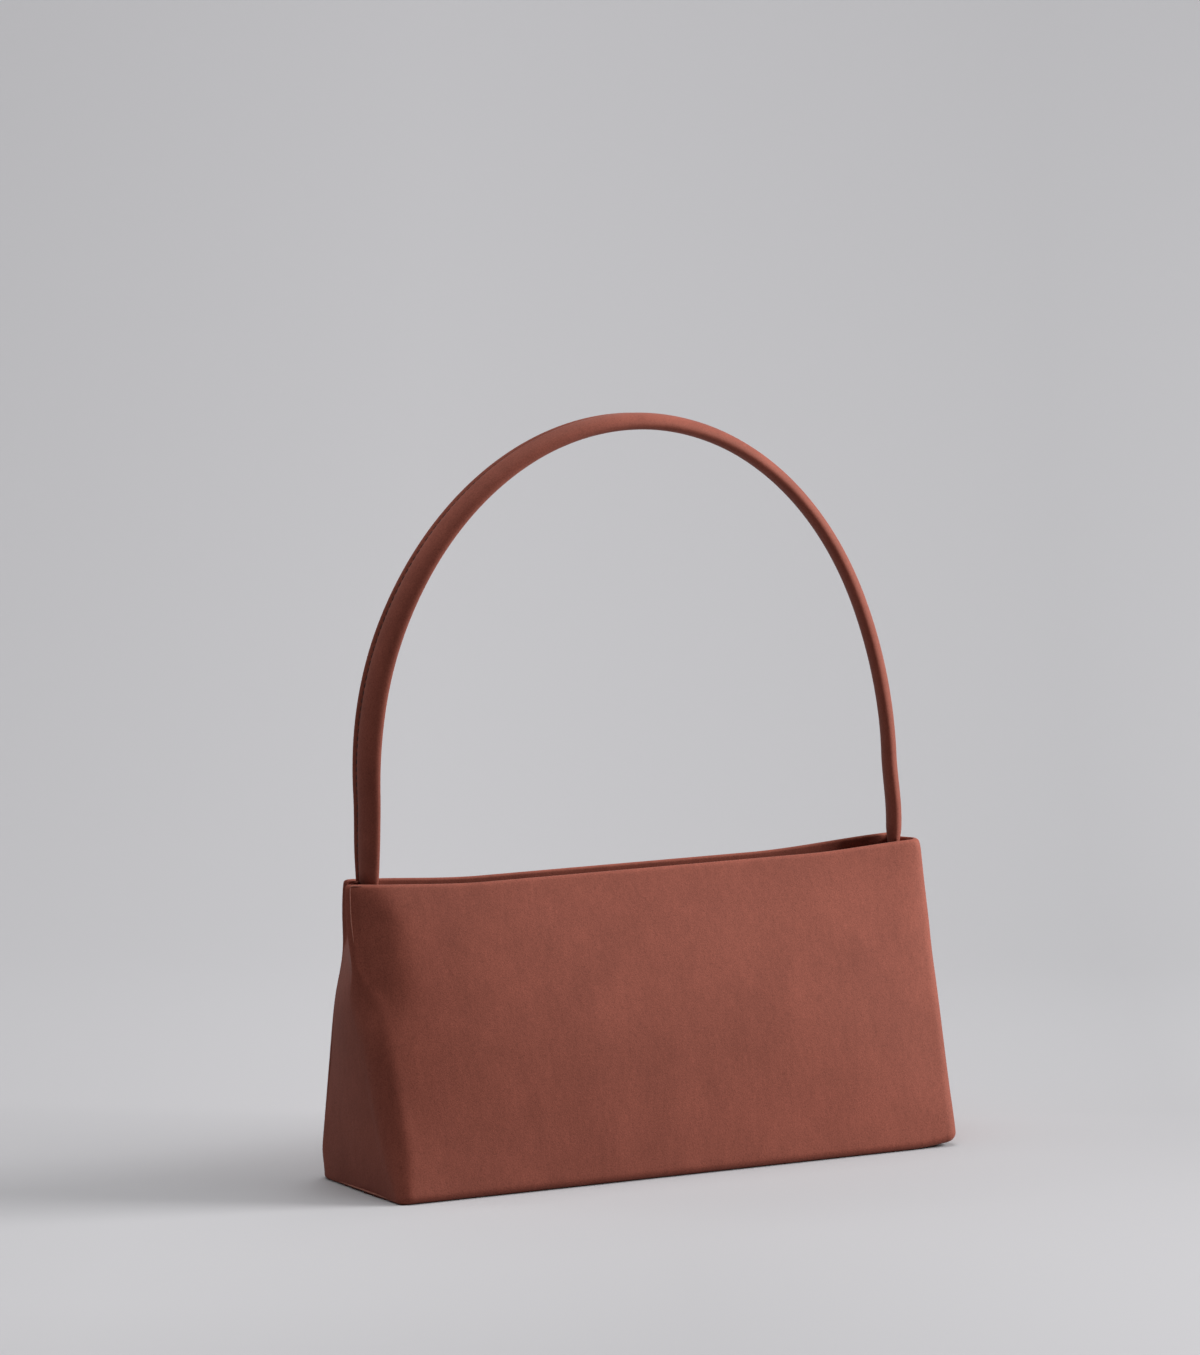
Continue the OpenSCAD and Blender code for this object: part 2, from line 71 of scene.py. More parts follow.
BOW, BOW_LEN, BOW_POWER = {LEFT: 3, RIGHT: 0}, 95, 2.2
TOP_EASE, TOP_EASE_H = {"front": 1.4, "back": 0.5}, 5
WAVE, WAVE_LEN, WAVE_D, WAVE_H, WAVE_START = 0.55, 55, 40, 48, 3.1
PINCH, PINCH_Z, PINCH_H = {LEFT: 2.2, RIGHT: 1.0}, 99.5, 14.5
ZONE_STEPS = {"front": 40, "front corner": 8, "end": 30, "back corner": 8, "back": 40}
EDGE_STEPS, ROLL_STEPS, TURNED_STEPS = 7, 10, 3
WALL_LEVELS = [6, 9] + [12 + 2.4 * k for k in range(46)] + [122.4, 124.6, 126.6]


def along(a, b, s):
    return a + (b - a) * s


def clamp(s):
    return min(1, max(0, s))


def ramp(s):
    s = clamp(s)
    return s * s * (3 - 2 * s)


def soft_min(a, b, softness):
    return -softness * math.log(math.exp(-a / softness) + math.exp(-b / softness))


def corner_radius(side, z):
    """The upright front corner is fairly tight at its foot, soft above it and crisp beside the fold."""
    soft = along(FOOT_R, SOFT_R[side], ramp(z / SOFT_FROM))
    return along(soft, CRISP_R[side], ramp((z - CRISP_FROM) / (CRISP_UP - CRISP_FROM)))


def roll_back(side, z, beyond):
    """How far the fold draws the front's end back: a long bow, and a facet that starts at a soft bend."""
    grown = ramp((z - FACET_FROM) / (FACET_FULL - FACET_FROM))
    width = along(FACET_FOOT_W, FACET_W[side], grown)
    width += (FACET_RIM_W[side] - FACET_W[side]) * ramp((z - FACET_TOP) / (BODY_H - FACET_TOP))
    slope = FACET_SLOPE[side] * grown
    bow = BOW[side] * math.sin(math.pi * clamp(z / BODY_H)) * clamp(1 + beyond / BOW_LEN) ** BOW_POWER
    return bow + slope * FACET_SOFT * math.log1p(math.exp((beyond + width) / FACET_SOFT))


def wall_point(zone, share, side, z, inset):
    """Place on the body's wall, in millimetres, with inset counted inwards from the outer face."""
    level = z / BODY_H
    ease = 1 - math.sqrt(max(0, 1 - clamp((z - BODY_H + TOP_EASE_H) / TOP_EASE_H) ** 2))
    tuck = TUCK[side] * (1 - math.sqrt(max(0, 1 - clamp(1 - z / TUCK_H) ** 2)))
    front_w = along(BASE_W, FRONT_RIM_W, level) / 2 - inset - TOP_EASE["front"] * ease
    front_w -= FRONT_TUCK_SHARE * tuck
    back_w = along(BASE_W, BACK_RIM_W, level) / 2 - inset - TOP_EASE["back"] * ease - tuck
    back_w -= PINCH[side] * math.exp(-((z - PINCH_Z) / PINCH_H) ** 2)
    depth = along(BASE_D, MOUTH_D, level) / 2 - inset
    front_r = max(LEAST_R, corner_radius(side, z) - inset)
    back_r = max(LEAST_R, along(BACK_FOOT_R[side], BACK_R, ramp(z / BACK_FOOT_H)) - inset)
    belly = math.sin(math.pi * clamp(level))
    if zone == "front":
        x, y = share * (front_w - front_r), -depth
        y -= CROWN * (1 - share ** CROWN_POWER) * belly
    elif zone == "front corner":
        turn = share * math.pi / 2
        x = front_w - front_r + front_r * math.sin(turn)
        y = front_r - depth - front_r * math.cos(turn)
    elif zone == "end":
        x = along(front_w, back_w, share)
        y = along(front_r - depth, depth - back_r, share)
        out = math.sqrt((2 * share - 1) ** 2 + END_SOFT)
        x += END_SWELL * math.sin(math.pi * clamp(z / FOLD_FOOT)) * (1 - min(1, out) ** 2)
        gusset = clamp((z - FOLD_FOOT) / (FOLD_APEX - FOLD_FOOT))
        x -= FOLD_D * max(0, soft_min(FOLD_REACH - out, gusset, FOLD_SOFT)) if gusset > 0 else 0
    elif zone == "back corner":
        turn = share * math.pi / 2
        x = back_w - back_r + back_r * math.cos(turn)
        y = depth - back_r + back_r * math.sin(turn)
    else:
        x, y = (1 - share) * (back_w - back_r), depth
        y += BACK_CROWN_SHARE * CROWN * (1 - (1 - share) ** CROWN_POWER) * belly
    if zone == "end":
        y += roll_back(side, z, 0) * (1 - share)
    elif zone.startswith("front"):
        y += roll_back(side, z, x - front_w)
    x *= side
    loose = WAVE * belly * noise.noise(Vector((x / WAVE_LEN + WAVE_START, y / WAVE_D, z / WAVE_H)))
    x += loose * (side if zone == "end" else 0)
    y += {"front": -loose, "back": loose}.get(zone, 0)
    y += LEAN * (z - EDGE_R) / (BODY_H - EDGE_R)
    across = share if zone == "end" else (0 if zone.startswith("front") else 1)
    rise_len = along(RIM_RISE_LEN["front", side], RIM_RISE_LEN["back", side], across)
    rise = along(RIM_RISE["front", side], RIM_RISE["back", side], across)
    at_rim = ramp((abs(x) - FRONT_RIM_W / 2 + rise_len) / rise_len)
    at_base = ramp((abs(x) - BASE_W / 2 + BASE_RISE_LEN) / BASE_RISE_LEN)
    lift = (rise * at_rim - RIM_SAG) * ramp((level - RISE_FROM_SHARE) / RISE_OVER_SHARE)
    lift += BASE_RISE[side] * at_base * (1 - ramp(z / BASE_RISE_H))
    return Vector((x, y, z + lift))


def stations(*zones):
    """Stations of the wall's right half, in order from the middle of the front to the middle of the back."""
    line = []
    for zone in zones:
        first = 0 if not line else 1
        line += [(zone, k / ZONE_STEPS[zone]) for k in range(first, ZONE_STEPS[zone] + 1)]
    return line


def both_sides(right):
    """The same stations on the left, mirrored, and then those on the right."""
    left = [(zone, share, LEFT) for zone, share in reversed(right[1:])]
    return left + [(zone, share, RIGHT) for zone, share in right]


def edge_radius(zone, share, side):
    """The lower edge is round at the front and the back, and crisp at the left end."""
    to_end = {"front": 0, "front corner": share, "end": 1, "back corner": 1 - share, "back": 0}[zone]
    return along(EDGE_R, END_EDGE_R[side], ramp(to_end))


def edge_length(zone, share, side):
    radius = edge_radius(zone, share, side)
    return EDGE_R - radius + radius * math.pi / 2


def edge_point(zone, share, side, way_down, more_inset=0):
    """Place on the lower edge, counted down the outer face from the foot of the wall."""
    radius = edge_radius(zone, share, side)
    straight = EDGE_R - radius
    if way_down < straight:
        return wall_point(zone, share, side, EDGE_R - way_down, more_inset)
    turn = (way_down - straight) / radius
    under = radius * (1 - math.cos(turn)) + more_inset
    return wall_point(zone, share, side, radius * (1 - math.sin(turn)), under)


def seam_depth(zone, share, side):
    """How far down the lower edge the base seam lies: underneath, but higher in a long curve at the ends."""
    bow = 0
    if zone == "end":
        bow_share = clamp((share - SEAM_FROM_SHARE) / (SEAM_TO_SHARE - SEAM_FROM_SHARE))
        bow = SEAM_BOW * math.sin(math.pi * bow_share)
    return min(EDGE_R * math.radians(SEAM_TURN - bow), SEAM_END_SHARE * edge_length(zone, share, side))


def skin_rows():
    """Rows of the outer face from the base seam up, over the rim and down the inside."""
    rows = [("edge", k / EDGE_STEPS) for k in range(EDGE_STEPS + 1)]
    rows += [("wall", z) for z in WALL_LEVELS]
    rows += [("roll", 180 * k / ROLL_STEPS) for k in range(ROLL_STEPS + 1)]
    return rows + [("inside", TURNED_IN * k / TURNED_STEPS) for k in range(1, TURNED_STEPS + 1)]


def skin_point(row, station):
    (kind, value), (zone, share, side) = row, station
    if kind == "edge":
        return edge_point(zone, share, side, seam_depth(zone, share, side) * (1 - value))
    if kind == "wall":
        return wall_point(zone, share, side, value, 0)
    if kind == "roll":
        turn = math.radians(value)
        level = BODY_H - RIM_R * (1 - math.sin(turn))
        return wall_point(zone, share, side, level, RIM_R * (1 - math.cos(turn)))
    return wall_point(zone, share, side, BODY_H - RIM_R - value, 2 * RIM_R)


def select_only(piece):
    bpy.ops.object.select_all(action="DESELECT")
    piece.select_set(True)
    bpy.context.view_layer.objects.active = piece


def formed_sheet(name, columns, rows, place):
    """A flat grid of material, one vertex for each column and row, moved to its place on the form."""
    bpy.ops.object.select_all(action="DESELECT")
    bpy.ops.mesh.primitive_grid_add(x_subdivisions=len(columns) - 1, y_subdivisions=len(rows) - 1, size=2)
    piece = bpy.context.active_object
    piece.name = piece.data.name = name
    for vertex in piece.data.vertices:
        column = round((vertex.co.x + 1) / 2 * (len(columns) - 1))
        row = round((vertex.co.y + 1) / 2 * (len(rows) - 1))
        vertex.co = place(rows[row], columns[column]) * MM
    return piece


def turn_outwards(piece):
    select_only(piece)
    bpy.ops.object.mode_set(mode="EDIT")
    bpy.ops.mesh.select_all(action="SELECT")
    bpy.ops.mesh.normals_make_consistent(inside=False)
    bpy.ops.object.mode_set(mode="OBJECT")


def face_away(piece):
    """The faces of an open sheet on the body look away from the body's middle."""
    turn_outwards(piece)
    middle = Vector((0, 0, BODY_H / 2)) * MM
    if sum(face.area * face.normal.dot(face.center - middle) for face in piece.data.polygons) < 0:
        piece.data.flip_normals()


def thicken(piece, thickness, offset=-1):
    """Give a sheet its thickness: inwards from its face, or to both sides with an offset of 0."""
    solid = piece.modifiers.new("thickness", "SOLIDIFY")
    solid.thickness = thickness * MM
    solid.offset = offset
    select_only(piece)
    bpy.ops.object.modifier_apply(modifier=solid.name)
    bpy.ops.object.shade_smooth_by_angle(angle=math.radians(50))


def node_setup(name):
    material = bpy.data.materials.new(name)
    material.use_nodes = True
    tree = material.node_tree
    return material, tree, tree.nodes["Principled BSDF"]


def add_node(tree, kind, **values):
    node = tree.nodes.new(kind)
    for key, value in values.items():
        if key in node.inputs:
            node.inputs[key].default_value = value
        else:
            setattr(node, key, value)
    return node


def mapped(tree, scale=(1, 1, 1), rotation=(0, 0, 0)):
    """The place on the piece, stretched and turned for a pattern."""
    place = add_node(tree, "ShaderNodeTexCoord")
    mapping = add_node(tree, "ShaderNodeMapping", Scale=scale, Rotation=rotation)
    tree.links.new(place.outputs["Object"], mapping.inputs["Vector"])
    return mapping.outputs["Vector"]


def noise_at(tree, vector, scale, detail=2.0, roughness=0.5):
    texture = add_node(tree, "ShaderNodeTexNoise", Scale=scale, Detail=detail, Roughness=roughness)
    tree.links.new(vector, texture.inputs["Vector"])
    return texture.outputs["Fac"]


def spread(tree, value, low, high, to_low, to_high):
    """Stretch the values between low and high to new limits."""
    step = add_node(tree, "ShaderNodeMapRange")
    for key, number in zip(("From Min", "From Max", "To Min", "To Max"), (low, high, to_low, to_high)):
        step.inputs[key].default_value = number
    tree.links.new(value, step.inputs["Value"])
    return step.outputs["Result"]


NOISE_LOW, NOISE_HIGH = 0.3, 0.7


def mottle(tree, vector, scale, detail, roughness, darkest, lightest, high=NOISE_HIGH):
    """Cloudy shade between a darkest and a lightest factor, for multiplying."""
    return spread(tree, noise_at(tree, vector, scale, detail, roughness), NOISE_LOW, high, darkest, lightest)


def times(tree, *values):
    result = values[0]
    for value in values[1:]:
        node = add_node(tree, "ShaderNodeMath", operation="MULTIPLY")
        tree.links.new(result, node.inputs[0])
        tree.links.new(value, node.inputs[1])
        result = node.outputs[0]
    return result


def toned(colour, *shares):
    """A colour made lighter or darker, by one share or by one for each of red, green and blue."""
    return tuple(share * part for share, part in zip(shares if len(shares) == 3 else shares * 3, colour))


def tinted(tree, dark, light, value):
    """A colour between two, each of them a plain colour or another node's output."""
    mix = add_node(tree, "ShaderNodeMix", data_type="RGBA")
    for colour, socket in ((dark, mix.inputs[6]), (light, mix.inputs[7])):
        if isinstance(colour, tuple):
            socket.default_value = (*colour, 1)
        else:
            tree.links.new(colour, socket)
    tree.links.new(value, mix.inputs[0])
    return mix.outputs[2]


def bumped(tree, shader, height, strength, distance):
    bump = add_node(tree, "ShaderNodeBump", Strength=strength, Distance=distance)
    tree.links.new(height, bump.inputs["Height"])
    tree.links.new(bump.outputs["Normal"], shader.inputs["Normal"])


def set_inputs(shader, values):
    for key, value in values.items():
        shader.inputs[key].default_value = value


def suede(name, colour, nap_scale):
    """Brushed suede: a short nap with fine dark flecks, soft streaks along the nap and cloudy patches."""
    material, tree, shader = node_setup(name)
    plain = mapped(tree)
    nap = mapped(tree, nap_scale)
    grain = mottle(tree, plain, scale=1500, detail=2, roughness=0.7, darkest=0.84, lightest=1.16)
    flecks = mottle(tree, plain, scale=900, detail=2, roughness=0.6, darkest=0.86, lightest=1.0, high=0.45)
    streaks = mottle(tree, nap, scale=420, detail=4, roughness=0.6, darkest=0.93, lightest=1.07)
    brushed = mottle(tree, nap, scale=95, detail=3, roughness=0.55, darkest=0.95, lightest=1.05)
    patches = mottle(tree, plain, scale=26, detail=3, roughness=0.55, darkest=0.9, lightest=1.1)
    shade = spread(tree, times(tree, grain, flecks, streaks, brushed, patches), 0.4, 1.6, 0, 1)
    dark, light = toned(colour, 0.44, 0.36, 0.34), toned(colour, 1.56, 1.64, 1.66)
    tree.links.new(tinted(tree, dark, light, shade), shader.inputs["Base Color"])
    set_inputs(shader, {
        "Roughness": 0.7,
        "Specular IOR Level": 0.22,
        "Specular Tint": (1.0, 0.86, 0.68, 1),
        "Sheen Weight": 0.08,
        "Sheen Roughness": 0.5,
        "Sheen Tint": (1.0, 0.85, 0.78, 1),
    })
    bumped(tree, shader, times(tree, grain, flecks, streaks), strength=0.3, distance=0.0003)
    return material


CHESTNUT = (0.278, 0.0715, 0.0475)
UPRIGHT_NAP = (1, 1, 0.22)
body_suede = suede("body suede", CHESTNUT, UPRIGHT_NAP)


def dress(piece, material):
    piece.data.materials.clear()
    piece.data.materials.append(material)


front_stations = both_sides(stations("front", "front corner", "end"))
front_skin = formed_sheet("front_skin", front_stations, skin_rows(), skin_point)
face_away(front_skin)
thicken(front_skin, SUEDE_T)
dress(front_skin, body_suede)
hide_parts("front_panel")
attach(front_skin, "bag")

# Fine pale cords at the left end paint highlights where the suede's edges catch the light, and partly stand
# for
# its pale worn edges: one from the rim down the crisp upright corner beside the fold, and one along the base
# seam.
PALE_R, PALE_TIP_R, PALE_SIDES, PALE_TIP_STEPS = 0.24, 0.02, 8, 8
PALE_EDGE_FOOT, PALE_EDGE_TOP, PALE_EDGE_STEPS, PALE_EDGE_CORNER_SHARE, PALE_EDGE_PROUD = 106, 128.2, 24, 0.15, 0.02
OVER_RIM_STEPS, OVER_RIM_RISE, ON_RIM_STEPS, ON_RIM_STEP_SHARE = 4, 0.1, 8, 0.004
SEAM_PALE_R, SEAM_PALE_UP, SEAM_PALE_IN = 0.384, 1.1, 0.1
SEAM_PALE_FROM_SHARE, SEAM_PALE_TO_SHARE, SEAM_PALE_STEPS = 0.1, 0.82, 30
# A lighter suede for the painted highlights on the edges, partly pale worn edge.
highlight_and_wear_suede = suede("painted highlight and worn suede edge", (0.4, 0.15, 0.11), UPRIGHT_NAP)


def weld(piece, within, close_ends=False):
    """Merge points that lie together, and fill the open ends of a tube if asked."""
    select_only(piece)
    bpy.ops.object.mode_set(mode="EDIT")
    bpy.ops.mesh.select_all(action="SELECT")
    bpy.ops.mesh.remove_doubles(threshold=within * MM)
    if close_ends:
        bpy.ops.mesh.select_all(action="DESELECT")
        bpy.ops.mesh.select_non_manifold()
        bpy.ops.mesh.fill_holes(sides=0)
    bpy.ops.object.mode_set(mode="OBJECT")


def highlight_and_wear_cord(name, path, radius):
    """A fine cord along a path of places in millimetres, which thins out to both ends."""
    def place(k, turn):
        here, last = path[k], len(path) - 1
        way = (path[min(k + 1, last)] - path[max(k - 1, 0)]).to_track_quat("Z", "Y")
        to_tip = clamp(k / PALE_TIP_STEPS) * clamp((last - k) / PALE_TIP_STEPS)
        thick = PALE_TIP_R + radius * math.sqrt(to_tip)
        return here + way @ Vector((thick * math.cos(turn), thick * math.sin(turn), 0))

    turns = [2 * math.pi * k / PALE_SIDES for k in range(PALE_SIDES + 1)]
    piece = formed_sheet(name, turns, range(len(path)), place)
    weld(piece, within=0.005, close_ends=True)
    turn_outwards(piece)
    bpy.ops.object.shade_smooth()
    dress(piece, highlight_and_wear_suede)
    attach(piece, "bag")


# Painted highlight down the crisp corner and a little along the rim, where the fold's ridge catches the
# light.
corner_path = [
    wall_point("front corner", PALE_EDGE_CORNER_SHARE, LEFT, along(PALE_EDGE_FOOT, PALE_EDGE_TOP, k / PALE_EDGE_STEPS), 0)
    for k in range(PALE_EDGE_STEPS + 1)]
corner_path += [
    wall_point("front corner", PALE_EDGE_CORNER_SHARE * (1 - k / OVER_RIM_STEPS), LEFT,
               PALE_EDGE_TOP + OVER_RIM_RISE * k, -PALE_EDGE_PROUD)
    for k in range(1, OVER_RIM_STEPS + 1)]
on_rim_z = PALE_EDGE_TOP + OVER_RIM_RISE * OVER_RIM_STEPS
corner_path += [
    wall_point("front", 1 - ON_RIM_STEP_SHARE * k, LEFT, on_rim_z, -PALE_EDGE_PROUD)
    for k in range(1, ON_RIM_STEPS + 1)]
highlight_and_wear_cord("corner_highlight_and_wear_cord", corner_path, PALE_R)
# Painted highlight along the base seam, where the sliver of the base catches the light.
seam_path = [
    edge_point("end", along(SEAM_PALE_FROM_SHARE, SEAM_PALE_TO_SHARE, k / SEAM_PALE_STEPS), LEFT,
               EDGE_R - SEAM_PALE_UP, SEAM_PALE_IN)
    for k in range(SEAM_PALE_STEPS + 1)]
highlight_and_wear_cord("seam_highlight_and_wear_cord", seam_path, SEAM_PALE_R)

# The back of the body is a second skin of the same suede, cut plain, with its foot and its top turned
# as at the front. It meets the front skin in a closed seam along the two upright back corners.
SEAM_GAP_SHARE = 0.01


def both_back_sides(half):
    """The back's stations in order, from the left back corner over the middle to the right one."""
    left = [(zone, share, LEFT) for zone, share in half]
    return left + [(zone, share, RIGHT) for zone, share in reversed(half[:-1])]


back_half = [("back corner", SEAM_GAP_SHARE)] + stations("back corner", "back")[1:]
back_skin = formed_sheet("back_skin", both_back_sides(back_half), skin_rows(), skin_point)
face_away(back_skin)
thicken(back_skin, SUEDE_T)
dress(back_skin, body_suede)
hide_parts("back_panel")
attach(back_skin, "bag")

# The base is a third piece of suede. Its edge is set in behind the walls' turned foot, and at the soft
# ends it comes up a little, so that a sliver of it shows below the seam.
BASE_STEPS, BASE_TURNED_SHARE, BASE_TIP_SHARE, BASE_BEHIND, BASE_IN = 48, 0.24, 0.2, 0.07, 0.15


def opposite(zone, share):
    """The station across the bag from one on the front half."""
    return zone.replace("front", "back"), 1 - share


def base_point(across, station):
    """The turned edges stay at their own side, and the flat part spans the way between them."""
    zone, share, side = station
    ends = []
    for a_zone, a_share in ((zone, share), opposite(zone, share)):
        to_tip = clamp((0.5 - min(a_share, 1 - a_share)) / BASE_TIP_SHARE) if a_zone == "end" else 1
        round_share = clamp(min(across, 1 - across) / BASE_TURNED_SHARE) * to_tip
        seam = seam_depth(a_zone, a_share, side) - BASE_BEHIND
        under = edge_length(a_zone, a_share, side)
        ends.append(edge_point(a_zone, a_share, side, along(seam, under, round_share), BASE_IN))
    return ends[0].lerp(ends[1], clamp((across - BASE_TURNED_SHARE) / (1 - 2 * BASE_TURNED_SHARE)))


base_stations = [station for station in front_stations if station[0] != "end" or station[1] <= 0.5]
base_rows = [k / BASE_STEPS for k in range(BASE_STEPS + 1)]
base_skin = formed_sheet("base_skin", base_stations, base_rows, base_point)
weld(base_skin, within=0.02)
face_away(base_skin)
thicken(base_skin, SUEDE_T)
for vertex in base_skin.data.vertices:
    vertex.co.z = max(0, vertex.co.z)
dress(base_skin, suede("base suede", toned(CHESTNUT, 0.95), (0.22, 1, 1)))
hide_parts("base_panel")
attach(base_skin, "bag")

# Inside the rim lies a facing of the same suede, pared thin. It butts against the folded-over edge of
# the skin and runs down to the lining, and the zip is sewn to it.
FACING_T, FACING_IN, FACING_FOOT, FACING_GAP = 1, 1.3, 103, 0.4
BAND_STEP = 2.6
facing_suede = suede("facing suede", toned(CHESTNUT, 0.8), UPRIGHT_NAP)


def band(name, columns, low, high, inset, thickness, material):
    """A thin layer behind the wall, from one height to another."""
    count = max(2, round((high - low) / BAND_STEP))
    rows = [along(low, high, k / count) for k in range(count + 1)]
    piece = formed_sheet(name, columns, rows, lambda z, station: wall_point(*station, z, inset))
    face_away(piece)
    thicken(piece, thickness)
    dress(piece, material)
    return piece


end_line, end_middle = stations("end"), ZONE_STEPS["end"] // 2
front_half_line = both_sides(stations("front", "front corner") + end_line[1:end_middle + 1])
back_half_line = both_back_sides(end_line[end_middle:] + stations("back corner", "back")[1:])
for name, columns in (("front_facing", front_half_line), ("back_facing", back_half_line)):
    facing = band(name + "_skin", columns, FACING_FOOT, BODY_H - RIM_R - TURNED_IN - FACING_GAP, FACING_IN,
                  FACING_T, facing_suede)
    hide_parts(name)
    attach(facing, "bag")

# Behind the front and the back skins a pressed backing is glued in, which keeps the panels flat. A fibre
# board does the same for the base.
BACKING_T, BACKING_LOW, BACKING_HIGH = 1, 8, 102.7


def felt(name, colour, scale):
    """Pressed fibres in a dull mat."""
    material, tree, shader = node_setup(name)
    vector = mapped(tree)
    fibres = noise_at(tree, vector, scale, 6, 0.7)
    clouds = mottle(tree, vector, scale=scale / 12, detail=2, roughness=0.5, darkest=0.92, lightest=1.08)
    mat = times(tree, spread(tree, fibres, NOISE_LOW, NOISE_HIGH, 0.8, 1.15), clouds)
    shade = spread(tree, mat, 0.5, 1.5, 0, 1)
    tree.links.new(tinted(tree, toned(colour, 0.5), toned(colour, 1.5), shade), shader.inputs["Base Color"])
    set_inputs(shader, {"Roughness": 0.9})
    bumped(tree, shader, fibres, strength=0.3, distance=0.0003)
    return material


backing_felt = felt("backing felt", (0.5, 0.45, 0.38), 900)
front_flat = both_sides(stations("front"))
back_flat = [("back", 1 - share, side) for _, share, side in front_flat]
for name, columns in (("front_backing", front_flat), ("back_backing", back_flat)):
    backing = band(name + "_sheet", columns, BACKING_LOW, BACKING_HIGH, FACING_IN, BACKING_T, backing_felt)
    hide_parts(name)
    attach(backing, "bag")
dress(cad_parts["base_board"], felt("fibre board", (0.4, 0.33, 0.24), 1400))

# The lining is brown twill in three pieces, sewn to the facing and lying against the walls and over the
# base board.
LINING_T, LINING_IN, LINING_LOW, LINING_HIGH = 0.5, 2.5, 5, 108
FLOOR_Z, FLOOR_TURN_UP, FLOOR_TURN_SHARE, FLOOR_GAP, FLOOR_FLAT_STEPS = 3.75, 1.2, 0.05, 0.1, 20
FLOOR_TURN_SHARES = [0, 0.012, 0.025, 0.037]


def woven(name, colour, pitch, slant=0.6):
    """Fine twill: two sets of threads that cross, with a slanted rib."""
    material, tree, shader = node_setup(name)
    vector = mapped(tree)
    ribs = add_node(tree, "ShaderNodeTexWave", Scale=1 / pitch, Distortion=0.6, bands_direction="DIAGONAL")
    threads = add_node(tree, "ShaderNodeTexWave", Scale=slant / pitch, Distortion=0.4, bands_direction="Z")
    for wave in (ribs, threads):
        tree.links.new(vector, wave.inputs["Vector"])
    height = times(tree, spread(tree, ribs.outputs["Fac"], 0, 1, 0.6, 1),
                   spread(tree, threads.outputs["Fac"], 0, 1, 0.75, 1),
                   mottle(tree, vector, scale=300, detail=3, roughness=0.5, darkest=0.9, lightest=1.1))
    shade = spread(tree, height, 0.4, 1.1, 0, 1)
    tree.links.new(tinted(tree, toned(colour, 0.5), toned(colour, 1.4), shade), shader.inputs["Base Color"])
    set_inputs(shader, {"Roughness": 0.8, "Sheen Weight": 0.15})
    bumped(tree, shader, height, strength=0.4, distance=0.0002)
    return material


lining_twill = woven("lining twill", (0.12, 0.055, 0.04), 0.0045)
for name, columns in (("front_lining", front_half_line), ("back_lining", back_half_line)):
    lining = band(name + "_cloth", columns, LINING_LOW, LINING_HIGH, LINING_IN, LINING_T, lining_twill)
    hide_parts(name)
    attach(lining, "bag")


def floor_point(across, station):
    """The cloth on the base board, turned up a little where it meets the walls' lining."""
    zone, share, side = station
    height = FLOOR_Z + FLOOR_TURN_UP * (1 - clamp(min(across, 1 - across) / FLOOR_TURN_SHARE)) ** 2
    inset = LINING_IN + LINING_T + FLOOR_GAP
    ends = [wall_point(a, b, side, height, inset) for a, b in ((zone, share), opposite(zone, share))]
    return ends[0].lerp(ends[1], across)


floor_rows = list(FLOOR_TURN_SHARES)
for k in range(FLOOR_FLAT_STEPS + 1):
    floor_rows.append(along(FLOOR_TURN_SHARE, 1 - FLOOR_TURN_SHARE, k / FLOOR_FLAT_STEPS))
floor_rows += [1 - share for share in reversed(FLOOR_TURN_SHARES)]
floor_cloth = formed_sheet("base_lining_cloth", front_flat, floor_rows, floor_point)
face_away(floor_cloth)
thicken(floor_cloth, LINING_T, offset=0)
dress(floor_cloth, lining_twill)
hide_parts("base_lining")
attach(floor_cloth, "bag")

# The zip is sunk below the rim. Its two tapes are woven in brown: each lies level beside its teeth, sags
# a little and is turned down along the facing, where it is sewn.
ZIP_Z, ZIP_Y, TEETH_EDGE, FACING_FACE = 117, 7.684, 2.7, FACING_IN + FACING_T
TAPE_T, TAPE_HALF, TAPE_TURN, TAPE_BEND_R, TAPE_GAP, TAPE_STEPS = 0.6, 118, 6, 1.4, 0.05, 118
TAPE_SAG, SAG_FROM, SAG_OVER, SAG_EDGE_SHARE, SAG_LEAST_SHARE = 0.7, 4, 2, 0.35, 0.6
SAG_LEN, SAG_APART, SAG_START = 26, 5, 0.5
LEVEL_STEPS, BEND_STEPS, DOWN_STEPS = 8, 5, 4
tape_weave = woven("zip tape", (0.075, 0.032, 0.025), 0.0022, slant=1.0)
tape_rows = [("level", k / LEVEL_STEPS) for k in range(LEVEL_STEPS + 1)]
tape_rows += [("bend", k / BEND_STEPS) for k in range(1, BEND_STEPS + 1)]
tape_rows += [("turned", k / DOWN_STEPS) for k in range(1, DOWN_STEPS + 1)]
tape_columns = [-TAPE_HALF + 2 * TAPE_HALF * k / TAPE_STEPS for k in range(TAPE_STEPS + 1)]


def wall_at(zone, x, z, inset):
    """The depth of the front or back wall at one place along the zip and one height."""
    side, level = (RIGHT if x >= 0 else LEFT), z
    for _ in range(3):
        reach = abs(wall_point(zone, 1 if zone == "front" else 0, side, level, inset).x)
        share = abs(x) / reach
        point = wall_point(zone, share if zone == "front" else 1 - share, side, level, inset)
        level += z - point.z
    return point.y


